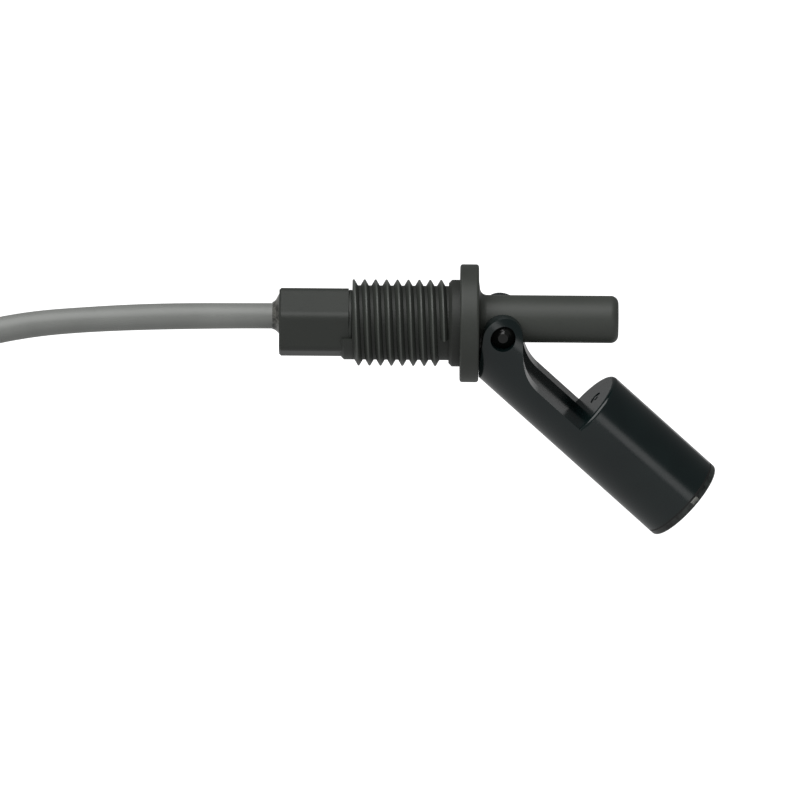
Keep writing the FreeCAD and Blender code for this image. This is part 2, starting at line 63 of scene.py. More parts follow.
class Socket(Enum):
    """Kinds of socket that a shader group can have."""

    NUMBER = "NodeSocketFloat"
    VECTOR = "NodeSocketVector"
    COLOUR = "NodeSocketColor"


class Follows(Enum):
    """What a finish's pattern is laid out on."""

    SPACE = "Object"
    SURFACE = "UV"


def srgb(red: int, green: int, blue: int) -> Colour:
    """Turns a colour of 0 to 255 as seen on a screen into the linear colour of a shader.

    Args:
        red: red as seen.
        green: green as seen.
        blue: blue as seen.

    Returns:
        The linear colour, opaque.
    """

    def linear(value: int) -> float:
        """One channel made linear."""
        share = value / 255
        if share <= 0.04045:
            return share / 12.92
        return ((share + 0.055) / 1.055) ** 2.4

    return linear(red), linear(green), linear(blue), 1.0


def metres(place: Place) -> Vector:
    """A place in millimetres as a vector in metres."""
    return Vector(place) * MM


class Graph:
    """Adds shader nodes to one tree and joins them as it goes."""

    def __init__(self, tree: bpy.types.ShaderNodeTree) -> None:
        """Works on the tree that it is given."""
        self.tree = tree

    def add(self, kind: str, inputs: dict[str | int, object] | None = None, **settings: object) -> bpy.types.Node:
        """Adds one node.

        Args:
            kind: the node's type, without its leading ShaderNode.
            inputs: each input's name or number with its value, or the output that feeds it.
            settings: the node's own settings.

        Returns:
            The new node.
        """
        node = self.tree.nodes.new("ShaderNode" + kind)
        for name, value in settings.items():
            setattr(node, name, value)
        for name, value in (inputs or {}).items():
            if isinstance(value, bpy.types.NodeSocket):
                self.tree.links.new(value, node.inputs[name])
            else:
                node.inputs[name].default_value = value
        return node

    def maths(self, operation: str, first: object, second: object = 0.0) -> bpy.types.NodeSocket:
        """Adds a Math node.

        Args:
            operation: what it works out.
            first: its first value or what feeds it.
            second: its second value or what feeds it.

        Returns:
            Its output.
        """
        return self.add("Math", {0: first, 1: second}, operation=operation).outputs["Value"]

    def vectors(self, operation: str, first: object, second: object) -> bpy.types.Node:
        """Adds a Vector Math node.

        Args:
            operation: what it works out.
            first: its first vector or what feeds it.
            second: its second vector or what feeds it.

        Returns:
            The node.
        """
        return self.add("VectorMath", {0: first, 1: second}, operation=operation)


class GroupMaker:
    """Makes the shader groups that several finishes share, each of them once."""

    def __init__(self) -> None:
        """Starts with no group made."""
        self.made: dict[str, bpy.types.ShaderNodeTree] = {}

    def start(
        self, name: str, inputs: dict[str, tuple[Socket, float | None]], outputs: list[str]
    ) -> tuple[Graph, bpy.types.NodeOutputs, bpy.types.NodeInputs]:
        """Makes an empty group with its sockets.

        Args:
            name: the group's name.
            inputs: each input's name, kind and starting value.
            outputs: the names of its outputs, which are all numbers.

        Returns:
            The group's graph, the sockets that bring its inputs and those that take its outputs.
        """
        tree = bpy.data.node_groups.new(name, "ShaderNodeTree")
        for socket_name, (kind, value) in inputs.items():
            socket = tree.interface.new_socket(name=socket_name, in_out="INPUT", socket_type=kind.value)
            if value is not None:
                socket.default_value = value
        for socket_name in outputs:
            tree.interface.new_socket(name=socket_name, in_out="OUTPUT", socket_type=Socket.NUMBER.value)
        self.made[name] = tree
        source = tree.nodes.new("NodeGroupInput")
        result = tree.nodes.new("NodeGroupOutput")
        return Graph(tree), source.outputs, result.inputs

    def moulded_surface(self) -> bpy.types.ShaderNodeTree:
        """Grain, flow shading and handling marks of a moulding.

        Returns:
            A group that puts out a tone mask, a wear mask and a height.
        """
        name = "moulded_surface"
        if name in self.made:
            return self.made[name]
        graph, source, result = self.start(
            name,
            {
                "Place": (Socket.VECTOR, None),
                "Grain Scale": (Socket.NUMBER, 6000.0),
                "Flow Scale": (Socket.NUMBER, 120.0),
                "Flow Contrast": (Socket.NUMBER, 1.0),
                "Streak Length": (Socket.NUMBER, 140.0),
                "Scratch Amount": (Socket.NUMBER, 0.4),
            },
            ["Tone", "Wear", "Height"],
        )
        grain = graph.add(
            "TexNoise", {"Vector": source["Place"], "Scale": source["Grain Scale"], "Detail": 3.0}
        )
        flow = graph.add(
            "TexNoise",
            {"Vector": source["Place"], "Scale": source["Flow Scale"], "Detail": 4.0, "Distortion": 0.6},
        )
        centred = graph.maths("SUBTRACT", flow.outputs["Fac"], 0.5)
        spread = graph.maths("MULTIPLY", centred, source["Flow Contrast"])
        tone = graph.add("Math", {0: spread, 1: 0.5}, operation="ADD", use_clamp=True)
        stretch = graph.add(
            "CombineXYZ", {"X": source["Streak Length"], "Y": STREAK_DENSITY, "Z": STREAK_DENSITY}
        )
        streaked = graph.vectors("MULTIPLY", source["Place"], stretch.outputs["Vector"])
        scratch = graph.add("TexNoise", {"Vector": streaked.outputs["Vector"], "Scale": 1.0, "Detail": 2.0})
        thin = graph.add(
            "MapRange",
            {"Value": scratch.outputs["Fac"], "From Min": SCRATCH_RANGE[0], "From Max": SCRATCH_RANGE[1]},
        )
        amount = graph.maths("MULTIPLY", thin.outputs["Result"], source["Scratch Amount"])
        wear = graph.add("Math", {0: flow.outputs["Fac"], 1: amount}, operation="ADD", use_clamp=True)
        graph.tree.links.new(tone.outputs["Value"], result["Tone"])
        graph.tree.links.new(wear.outputs["Value"], result["Wear"])
        graph.tree.links.new(graph.maths("SUBTRACT", grain.outputs["Fac"], amount), result["Height"])
        return graph.tree

    def near_shaft(self) -> bpy.types.ShaderNodeTree:
        """Mask of what lies inside a cylinder.

        Returns:
            A group that puts out 1 inside the radius and 0 outside it.
        """
        name = "near_shaft"
        if name in self.made:
            return self.made[name]
        graph, source, result = self.start(
            name,
            {
                "Place": (Socket.VECTOR, None),
                "Centre": (Socket.VECTOR, None),
                "Axis": (Socket.VECTOR, None),
                "Radius": (Socket.NUMBER, 0.001),
                "Softness": (Socket.NUMBER, 0.0001),
            },
            ["Mask"],
        )
        offset = graph.vectors("SUBTRACT", source["Place"], source["Centre"]).outputs["Vector"]
        across = graph.vectors("CROSS_PRODUCT", offset, source["Axis"]).outputs["Vector"]
        away = graph.add("VectorMath", {0: across}, operation="LENGTH").outputs["Value"]
        start = graph.maths("ADD", source["Radius"], source["Softness"])
        mask = graph.add("MapRange", {"Value": away, "From Min": start, "From Max": source["Radius"]})
        graph.tree.links.new(mask.outputs["Result"], result["Mask"])
        return graph.tree

    def between_planes(self) -> bpy.types.ShaderNodeTree:
        """Mask of what lies between two parallel planes.

        Returns:
            A group that puts out 1 between the planes and 0 beyond them.
        """
        name = "between_planes"
        if name in self.made:
            return self.made[name]
        graph, source, result = self.start(
            name,
            {
                "Place": (Socket.VECTOR, None),
                "Axis": (Socket.VECTOR, None),
                "Middle": (Socket.NUMBER, 0.0),
                "Half Width": (Socket.NUMBER, 0.001),
                "Softness": (Socket.NUMBER, 0.0001),
            },
            ["Mask"],
        )
        along = graph.vectors("DOT_PRODUCT", source["Place"], source["Axis"]).outputs["Value"]
        away = graph.maths("ABSOLUTE", graph.maths("SUBTRACT", along, source["Middle"]))
        start = graph.maths("ADD", source["Half Width"], source["Softness"])
        mask = graph.add("MapRange", {"Value": away, "From Min": start, "From Max": source["Half Width"]})
        graph.tree.links.new(mask.outputs["Result"], result["Mask"])
        return graph.tree


GROUPS = GroupMaker()


def space_mask(
    graph: Graph,
    tree: bpy.types.ShaderNodeTree,
    place: bpy.types.NodeSocket,
    values: dict[str, object],
    outside: bool,
) -> bpy.types.NodeSocket:
    """Adds one of the mask groups to a material.

    Args:
        graph: the material's graph.
        tree: the mask group.
        place: the coordinates.
        values: what the group's other inputs are set to.
        outside: whether the space lies outside the mask.

    Returns:
        A socket that is 1 in the space.
    """
    group = graph.add("Group", {"Place": place, **values}, node_tree=tree)
    inside = group.outputs["Mask"]
    return graph.maths("SUBTRACT", 1.0, inside) if outside else inside


@dataclass(frozen=True)
class Shaft:
    """Space inside a cylinder, or outside it, in millimetres."""

    centre: Place
    axis: Place
    radius: float
    softness: float = 0.1
    outside: bool = False

    def mask(self, graph: Graph, place: bpy.types.NodeSocket) -> bpy.types.NodeSocket:
        """Adds this space's mask to a material.

        Args:
            graph: the material's graph.
            place: the coordinates.

        Returns:
            A socket that is 1 in the space.
        """
        values = {
            "Centre": metres(self.centre),
            "Axis": self.axis,
            "Radius": self.radius * MM,
            "Softness": self.softness * MM,
        }
        return space_mask(graph, GROUPS.near_shaft(), place, values, self.outside)


@dataclass(frozen=True)
class Slab:
    """Space between two planes, or beyond them, in millimetres."""

    axis: Place
    middle: float
    half_width: float
    softness: float = 0.1
    outside: bool = False

    def mask(self, graph: Graph, place: bpy.types.NodeSocket) -> bpy.types.NodeSocket:
        """Adds this space's mask to a material.

        Args:
            graph: the material's graph.
            place: the coordinates.

        Returns:
            A socket that is 1 in the space.
        """
        values = {
            "Axis": self.axis,
            "Middle": self.middle * MM,
            "Half Width": self.half_width * MM,
            "Softness": self.softness * MM,
        }
        return space_mask(graph, GROUPS.between_planes(), place, values, self.outside)


@dataclass(frozen=True)
class Accent:
    """Another colour and gloss where all of some spaces meet."""

    colour: Colour
    roughness: float
    spaces: tuple[Shaft | Slab, ...]
    strength: float = 1.0

    def mask(self, graph: Graph, place: bpy.types.NodeSocket) -> bpy.types.NodeSocket:
        """Adds the product of the spaces' masks.

        Args:
            graph: the material's graph.
            place: the coordinates.

        Returns:
            A socket with the accent's strength.
        """
        total = self.spaces[0].mask(graph, place)
        for space in self.spaces[1:]:
            total = graph.maths("MULTIPLY", total, space.mask(graph, place))
        return graph.maths("MULTIPLY", total, self.strength)


@dataclass(frozen=True)
class Finish:
    """One surface finish: two tones of a colour, a range of gloss, a grain and its accents."""

    name: str
    dark: Colour
    light: Colour
    smooth_roughness: float = 0.3
    worn_roughness: float = 0.45
    metallic: float = 0.0
    grain_scale: float = 6000.0
    flow_scale: float = 120.0
    flow_contrast: float = 1.6
    streak_length: float = 140.0
    scratches: float = 0.4
    bump: float = 0.05
    bump_depth: float = 0.02
    coat: float = 0.0
    coat_roughness: float = 0.1
    ior: float = 1.5
    specular: float = 0.5
    transmission: float = 0.0
    follows: Follows = Follows.SPACE
    accents: tuple[Accent, ...] = ()

    def build(self) -> bpy.types.Material:
        """Makes the material.

        Returns:
            The finished material.
        """
        material = bpy.data.materials.new(self.name)
        material.use_nodes = True
        graph = Graph(material.node_tree)
        links = material.node_tree.links
        shader = material.node_tree.nodes["Principled BSDF"]
        settings = {
            "Metallic": self.metallic,
            "IOR": self.ior,
            "Specular IOR Level": self.specular,
            "Coat Weight": self.coat,
            "Coat Roughness": self.coat_roughness,
            "Transmission Weight": self.transmission,
        }
        for name, value in settings.items():
            shader.inputs[name].default_value = value
        coordinates = graph.add("TexCoord").outputs
        surface = graph.add(
            "Group",
            {
                "Place": coordinates[self.follows.value],
                "Grain Scale": self.grain_scale,
                "Flow Scale": self.flow_scale,
                "Flow Contrast": self.flow_contrast,
                "Streak Length": self.streak_length,
                "Scratch Amount": self.scratches,
            },
            node_tree=GROUPS.moulded_surface(),
        )
        tones = graph.add(
            "Mix", {"Factor": surface.outputs["Tone"], "A": self.dark, "B": self.light}, data_type="RGBA"
        )
        gloss = graph.add(
            "MapRange",
            {
                "Value": surface.outputs["Wear"],
                "To Min": self.smooth_roughness,
                "To Max": self.worn_roughness,
            },
        )
        colour, roughness = tones.outputs["Result"], gloss.outputs["Result"]
        for accent in self.accents:
            mask = accent.mask(graph, coordinates["Object"])
            colour = graph.add(
                "Mix", {"Factor": mask, "A": colour, "B": accent.colour}, data_type="RGBA"
            ).outputs["Result"]
            roughness = graph.add(
                "Mix", {"Factor": mask, "A": roughness, "B": accent.roughness}, data_type="FLOAT"
            ).outputs["Result"]
        links.new(colour, shader.inputs["Base Color"])
        links.new(roughness, shader.inputs["Roughness"])
        bump = graph.add(
            "Bump",
            {"Strength": self.bump, "Distance": self.bump_depth * MM, "Height": surface.outputs["Height"]},
        )
        links.new(bump.outputs["Normal"], shader.inputs["Normal"])
        return material


HINGE = (7.86, 0.0, -0.17)
HANG = math.radians(43.17)
ARM_AXIS = (math.cos(HANG), 0.0, -math.sin(HANG))
ARM_UP = (math.sin(HANG), 0.0, math.cos(HANG))
THREAD_AXIS = (1.0, 0.0, 0.0)
HINGE_AXIS = (0.0, 1.0, 0.0)
HINGE_ALONG_ARM = HINGE[0] * ARM_AXIS[0] + HINGE[2] * ARM_AXIS[2]
SEAM_REACH = 46.7

# Painted shade: the hexagonal tail of the one grey moulding is made darker, standing in for dimmer light on it.
TAIL_PAINTED_SHADE = Accent(srgb(44, 47, 44), 0.5, (Slab(THREAD_AXIS, -27.0, 7.2, 0.15),), 0.55)
# Painted light: the stem of the same moulding is made lighter, standing in for more light on its front and
# underside.
STEM_PAINTED_LIGHT = Accent(srgb(68, 71, 67), 0.46, (Slab(THREAD_AXIS, 16.8, 13.0, 0.4),), 0.5)
# Painted shade: the roots of the thread are darkened for the shade in its grooves, and made a little rougher.
THREAD_ROOT_PAINTED_SHADE = Accent(
    srgb(36, 38, 35),
    0.6,
    (Shaft((0.0, 0.0, 0.0), THREAD_AXIS, 6.95, 0.3), Slab(THREAD_AXIS, -10.9, 8.7, 0.2)),
    0.75,
)
# Painted shadow: the collar between the thread and the flange is darkened where the flange shades it.
COLLAR_PAINTED_SHADOW = Accent(
    srgb(39, 41, 38),
    0.55,
    (Shaft((0.0, 0.0, 0.0), THREAD_AXIS, 8.1, 0.1), Slab(THREAD_AXIS, -1.1, 1.05, 0.1)),
    0.85,
)
# Painted highlight on the thread's crests: their colour is lighter; their lower roughness is real wear.
THREAD_CREST_WEAR_AND_HIGHLIGHT = Accent(
    srgb(88, 91, 87),
    0.36,
    (
        Shaft((0.0, 0.0, 0.0), THREAD_AXIS, 7.55, 0.3, outside=True),
        Slab(THREAD_AXIS, -11.3, 8.7, 0.2),
    ),
    0.6,
)
# Painted shade: the hinge pin ends inside the ears' holes are darkened for the shade there; their higher gloss is
# real.
PIN_END_PAINTED_SHADE = Accent(
    srgb(15, 16, 15),
    0.2,
    (Shaft(HINGE, HINGE_AXIS, 2.26, 0.04), Slab(HINGE_AXIS, 0.0, 6.0, 0.2, outside=True)),
)
CAP_SEAM = Accent(srgb(10, 11, 11), 0.6, (Slab(ARM_AXIS, HINGE_ALONG_ARM + SEAM_REACH, 0.13, 0.05),))

HOUSING_GREY = Finish(
    "housing_grey",
    srgb(50, 53, 49),
    srgb(58, 61, 57),
    0.44,
    0.54,
    grain_scale=5200.0,
    bump=0.25,
    specular=0.4,
    accents=(TAIL_PAINTED_SHADE, STEM_PAINTED_LIGHT, THREAD_ROOT_PAINTED_SHADE, COLLAR_PAINTED_SHADOW, THREAD_CREST_WEAR_AND_HIGHLIGHT, PIN_END_PAINTED_SHADE),
)
FLOAT_BLACK = Finish(
    "float_black",
    srgb(10, 21, 22),
    srgb(16, 29, 29),
    0.13,
    0.24,
    grain_scale=3800.0,
    bump=0.006,
    scratches=0.5,
    accents=(CAP_SEAM,),
)
CAP_BLACK = Finish(
    "cap_black",
    srgb(8, 11, 11),
    srgb(48, 53, 51),
    0.2,
    0.42,
    grain_scale=3800.0,
    flow_scale=760.0,
    flow_contrast=3.0,
    bump=0.25,
    scratches=0.5,
    accents=(CAP_SEAM,),
)
RESIN_MOTTLED = Finish(
    "resin_mottled",
    srgb(30, 31, 29),
    srgb(104, 104, 99),
    0.16,
    0.36,
    flow_scale=1100.0,
    flow_contrast=3.0,
    bump=0.3,
    coat=0.3,
)
FLASH_PALE = Finish(
    "flash_pale", srgb(72, 74, 71), srgb(120, 121, 116), 0.3, 0.5, flow_scale=900.0, flow_contrast=3.0, bump=0.2
)
GLASS_CLEAR = Finish(
    "glass_clear", srgb(214, 232, 220), srgb(228, 240, 232), 0.02, 0.06, bump=0.02, transmission=0.9
)
PLATED_ALLOY = Finish("plated_alloy", srgb(178, 176, 170), srgb(200, 198, 192), 0.2, 0.36, metallic=1.0)
CORE_BROWN = Finish("core_brown", srgb(92, 56, 36), srgb(112, 70, 46), 0.36, 0.5, bump=0.1)
CORE_BLUE = Finish("core_blue", srgb(38, 76, 140), srgb(52, 94, 162), 0.36, 0.5, bump=0.1)
COPPER = Finish("copper", srgb(176, 104, 66), srgb(206, 132, 88), 0.24, 0.4, metallic=1.0)
SOLDER = Finish("solder", srgb(160, 162, 164), srgb(196, 198, 200), 0.22, 0.42, metallic=1.0, flow_scale=1500.0)
SLEEVE = Finish("sleeve", srgb(24, 24, 25), srgb(36, 36, 37), 0.4, 0.55, bump=0.2)
SHEATH_GREY = Finish(
    "sheath_grey",
    srgb(122, 124, 121),
    srgb(138, 140, 137),
    0.34,
    0.5,
    grain_scale=4200.0,
    flow_scale=90.0,
    streak_length=40.0,
    bump=0.2,
    scratches=0.7,
    follows=Follows.SURFACE,
)
TIE_NATURAL = Finish("tie_natural", srgb(206, 202, 188), srgb(222, 219, 207), 0.3, 0.46, bump=0.1)
TINNED = Finish("tinned", srgb(188, 184, 174), srgb(208, 205, 196), 0.25, 0.45, metallic=1.0, flow_scale=2500.0)
FERRITE = Finish("ferrite", srgb(48, 48, 50), srgb(66, 66, 68), 0.5, 0.7, metallic=0.4, bump=0.4)
FLOOR_PALE = Finish(
    "floor_pale", srgb(82, 82, 82), srgb(86, 86, 86), 0.7, 0.8, flow_scale=4.0, scratches=0.0, specular=0.1
)


class FinishBook:
    """Keeps each finish's material, so that it is made once."""

    def __init__(self) -> None:
        """Starts with no material made."""
        self.made: dict[str, bpy.types.Material] = {}

    def dress(self, piece: bpy.types.Object, finish: Finish) -> None:
        """Gives a piece one finish all over.

        Args:
            piece: the piece to dress.
            finish: its finish.
        """
        if finish.name not in self.made:
            self.made[finish.name] = finish.build()
        piece.data.materials.clear()
        piece.data.materials.append(self.made[finish.name])
        LOG.info("%s: %s", piece.name, finish.name)

    def dress_nodes(self, finishes: dict[str, Finish]) -> None:
        """Gives CAD nodes their finishes.

        Args:
            finishes: each node's finish by the node's name.
        """
        for name, finish in finishes.items():
            self.dress(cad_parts[name], finish)


BOOK = FinishBook()


class Bench:
    """The modelling operators, kept on one piece at a time."""

    @staticmethod
    def clear() -> None:
        """Leaves no object selected."""
        for thing in bpy.context.selected_objects:
            thing.select_set(False)

    @staticmethod
    def choose(piece: bpy.types.Object) -> None:
        """Selects a piece alone and makes it active."""
        Bench.clear()
        bpy.context.view_layer.objects.active = piece
        piece.select_set(True)

    @staticmethod
    def edit(piece: bpy.types.Object) -> None:
        """Takes a piece alone into edit mode."""
        Bench.choose(piece)
        bpy.ops.object.mode_set(mode="EDIT")

    @staticmethod
    def leave() -> None:
        """Goes back to object mode."""
        bpy.ops.object.mode_set(mode="OBJECT")

    @staticmethod
    def pick(piece: bpy.types.Object, wanted: Callable[[object], bool], kind: str = "FACE") -> None:
        """Selects the faces, edges or vertices of the piece in edit mode that meet a test.

        Args:
            piece: the piece in edit mode.
            wanted: takes an element and says whether it is wanted.
            kind: FACE, EDGE or VERT.
        """
        bpy.ops.mesh.select_mode(type=kind)
        bpy.ops.mesh.select_all(action="DESELECT")
        shape = bmesh.from_edit_mesh(piece.data)
        elements = {"FACE": shape.faces, "EDGE": shape.edges, "VERT": shape.verts}[kind]
        for element in elements:
            if wanted(element):
                element.select_set(True)
        bmesh.update_edit_mesh(piece.data)

    @staticmethod
    def modify(piece: bpy.types.Object, kind: str, **settings: object) -> None:
        """Adds one modifier and applies it.

        Args:
            piece: the piece.
            kind: the modifier's type.
            settings: its settings.
        """
        Bench.choose(piece)
        modifier = piece.modifiers.new(kind.lower(), kind)
        for name, value in settings.items():
            setattr(modifier, name, value)
        bpy.ops.object.modifier_apply(modifier=modifier.name)

    @staticmethod
    def settle(piece: bpy.types.Object, name: str, smooth: float = 35.0) -> None:
        """Names a piece, puts its place into its mesh and smooths it up to an angle.

        Args:
            piece: the piece.
            name: its name.
            smooth: the largest angle in degrees that is smoothed.
        """
        Bench.choose(piece)
        piece.name = name
        bpy.ops.object.transform_apply(location=True, rotation=True, scale=True)
        bpy.ops.object.shade_smooth_by_angle(angle=math.radians(smooth))


@dataclass
class PhotoView:
    """Camera at the photograph's viewing angle, from far off with a long lens."""

    elevation: float = 20.5
    roll: float = 0.45
    lens: float = 491.8
    sensor: float = 36.0
    distance: float = 2.0
    origin_right: float = 10.95
    origin_up: float = 14.06

    def build(self) -> bpy.types.Object:
        """Makes the camera and gives it to the scene.

        Returns:
            The camera.
        """
        lift = math.radians(self.elevation)
        turn = math.radians(self.roll)
        forward = Vector((0, math.cos(lift), -math.sin(lift)))
        level = Vector((1, 0, 0))
        rise = Vector((0, math.sin(lift), math.cos(lift)))
        up = rise * math.cos(turn) - level * math.sin(turn)
        right = level * math.cos(turn) + rise * math.sin(turn)
        middle = -(right * self.origin_right + up * self.origin_up) * MM
        data = bpy.data.cameras.new("photo_view")
        data.lens = self.lens
        data.sensor_width = self.sensor
        data.clip_start = 0.01
        data.clip_end = 20.0
        camera = bpy.data.objects.new("photo_view", data)
        bpy.context.scene.collection.objects.link(camera)
        axes = Matrix((right, up, -forward)).transposed().to_4x4()
        camera.matrix_world = Matrix.Translation(middle - forward * self.distance) @ axes
        bpy.context.scene.camera = camera
        return camera


@dataclass
class CableTie:
    """Narrow nylon tie round the put-away turns: its band, head and cut-off tail."""

    x: float = -114.0
    width: float = 2.6
    thickness: float = 0.75
    inner_y: float = 22.85
    outer_y: float = 32.65
    top_z: float = -30.85
    corner: float = 2.3
    head_y: float = 29.2
    head_size: Place = (4.4, 4.6, 3.1)
    head_sink: float = 0.1
    slot_margin: float = 0.85
    slot_depth: float = 1.4
    tail_start: float = 1.2
    tail_stub: float = 0.4
    tail_width_share: float = 0.92
    tail_thickness_share: float = 0.9
    tail_step: float = 2.1
    tail_steps: int = 5
    tail_droop: float = 7.0
    tail_tip_share: float = 0.8

    def band(self) -> bpy.types.Object:
        """Bends a flat band round the turns.

        Returns:
            The closed band.
        """
        Bench.clear()
        low = FLOOR_Z + self.thickness
        middle_y = (self.inner_y + self.outer_y) / 2
        middle_z = (low + self.top_z) / 2
        bpy.ops.mesh.primitive_plane_add(
            size=1.0, location=metres((self.x - self.width / 2, middle_y, middle_z)), rotation=(0, math.pi / 2, 0)
        )
        piece = bpy.context.object
        piece.scale = ((self.top_z - low) * MM, (self.outer_y - self.inner_y) * MM, 1.0)
        bpy.ops.object.transform_apply(location=True, rotation=True, scale=True)
        Bench.edit(piece)
        bpy.ops.mesh.select_all(action="SELECT")
        bpy.ops.mesh.bevel(offset=self.corner * MM, segments=8, affect="VERTICES")
        bpy.ops.mesh.select_all(action="SELECT")
        bpy.ops.mesh.delete(type="ONLY_FACE")
        bpy.ops.mesh.select_all(action="SELECT")
        bpy.ops.mesh.extrude_edges_move(TRANSFORM_OT_translate={"value": (self.width * MM, 0, 0)})
        bpy.ops.mesh.select_all(action="SELECT")
        bpy.ops.mesh.normals_make_consistent(inside=False)
        Bench.leave()
        Bench.modify(piece, "SOLIDIFY", thickness=self.thickness * MM, offset=1.0)
        Bench.modify(piece, "BEVEL", width=0.14 * MM, segments=2, limit_method="ANGLE")
        return piece

    def head(self) -> bpy.types.Object:
        """Shapes the locking head with the slot that the band runs through.

        Returns:
            The head.
        """
        Bench.clear()
        wide, deep, tall = self.head_size
        seat = self.top_z + self.thickness - self.head_sink
        bpy.ops.mesh.primitive_cube_add(size=1.0, location=metres((self.x, self.head_y, seat + tall / 2)))
        piece = bpy.context.object
        piece.scale = (wide * MM, deep * MM, tall * MM)
        bpy.ops.object.transform_apply(location=True, rotation=True, scale=True)
        Bench.edit(piece)
        for side in (-1, 1):
            Bench.pick(piece, lambda face: face.normal.y * side > FACING)
            bpy.ops.mesh.inset(thickness=self.slot_margin * MM)
            inward = (0, -side * self.slot_depth * MM, 0)
            bpy.ops.mesh.extrude_region_move(TRANSFORM_OT_translate={"value": inward})
        Bench.leave()
        Bench.modify(piece, "BEVEL", width=0.35 * MM, segments=3, limit_method="ANGLE")
        return piece

    def tail(self) -> bpy.types.Object:
        """Draws the strap's cut-off end out of the head.

        Returns:
            The tail.
        """
        Bench.clear()
        start_y = self.head_y - self.head_size[1] / 2 + self.tail_start
        level = self.top_z + self.thickness + self.head_size[2] / 2
        bpy.ops.mesh.primitive_cube_add(size=1.0, location=metres((self.x, start_y, level)))
        piece = bpy.context.object
        wide, tall = self.width * self.tail_width_share, self.thickness * self.tail_thickness_share
        piece.scale = (wide * MM, self.tail_stub * MM, tall * MM)
        bpy.ops.object.transform_apply(location=True, rotation=True, scale=True)
        Bench.edit(piece)
        Bench.pick(piece, lambda face: face.normal.y < -FACING)
        heading = 0.0
        droop = math.radians(self.tail_droop)
        place = metres((self.x, start_y - self.tail_stub / 2, level))
        for _ in range(self.tail_steps):
            heading += droop
            step = Vector((0, -math.cos(heading), -math.sin(heading))) * self.tail_step * MM
            place = place + step
            bpy.ops.mesh.extrude_region_move(TRANSFORM_OT_translate={"value": step})
            bpy.ops.transform.rotate(value=-droop, orient_axis="X", center_override=place)
        share = self.tail_tip_share
        bpy.ops.transform.resize(value=(share, 1.0, share), center_override=place)
        Bench.leave()
        Bench.modify(piece, "BEVEL", width=0.12 * MM, segments=2, limit_method="ANGLE")
        return piece

    def build(self) -> bpy.types.Object:
        """Makes the tie as one piece.

        Returns:
            The tie.
        """
        parts = [self.band(), self.head(), self.tail()]
        Bench.clear()
        for part in parts:
            part.select_set(True)
        bpy.context.view_layer.objects.active = parts[0]
        bpy.ops.object.join()
        tie = parts[0]
        Bench.settle(tie, "cable_tie")
        BOOK.dress(tie, TIE_NATURAL)
        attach(tie, Body.SWITCH.value)
        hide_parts("coil_tie")
        return tie


@dataclass
class ResinCollar:
    """Uneven collar of potting resin where the cable comes out of the tail."""

    tail_end: float = -33.05
    cable_height: float = 1.18
    sides: int = 26
    rings: tuple[tuple[float, float, float], ...] = (
        (-0.3, 4.05, 0.46),
        (-0.05, 3.85, 0.43),
        (0.2, 3.4, 0.33),
        (0.5, 3.0, 0.2),
        (0.8, 2.7, 0.09),
        (1.08, 2.54, 0.03),
        (1.24, 2.46, 0.0),
        (1.32, 2.2, 0.0),
    )
    smooth_base: float = 0.1
    unevenness: float = 0.13
    seed: int = 11

    def build(self) -> bpy.types.Object:
        """Draws the collar ring by ring and roughens it.

        Returns:
            The collar.
        """
        Bench.clear()
        first_back, first_radius, first_lift = self.rings[0]
        start = metres((self.tail_end - first_back, 0, self.cable_height + first_lift))
        bpy.ops.mesh.primitive_circle_add(
            vertices=self.sides,
            radius=first_radius * MM,
            fill_type="NGON",
            location=start,
            rotation=(0, -math.pi / 2, 0),
        )
        piece = bpy.context.object
        bpy.ops.object.transform_apply(location=True, rotation=True, scale=True)
        Bench.edit(piece)
        bpy.ops.mesh.select_all(action="SELECT")
        before = self.rings[0]
        for ring in self.rings[1:]:
            step = metres((before[0] - ring[0], 0, ring[2] - before[2]))
            bpy.ops.mesh.extrude_region_move(TRANSFORM_OT_translate={"value": step})
            centre = metres((self.tail_end - ring[0], 0, self.cable_height + ring[2]))
            share = ring[1] / before[1]
            bpy.ops.transform.resize(value=(share, share, share), center_override=centre)
            before = ring
        uneven_from = (self.tail_end - self.smooth_base) * MM
        Bench.pick(piece, lambda vertex: vertex.co.x < uneven_from, "VERT")
        bpy.ops.transform.vertex_random(offset=self.unevenness * MM, uniform=0.4, seed=self.seed)
        bpy.ops.mesh.select_all(action="SELECT")
        bpy.ops.mesh.normals_make_consistent(inside=False)
        Bench.leave()
        Bench.modify(piece, "SUBSURF", levels=2, render_levels=2)
        Bench.settle(piece, "resin_collar", 60.0)
        BOOK.dress(piece, RESIN_MOTTLED)
        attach(piece, Body.SWITCH.value)
        return piece


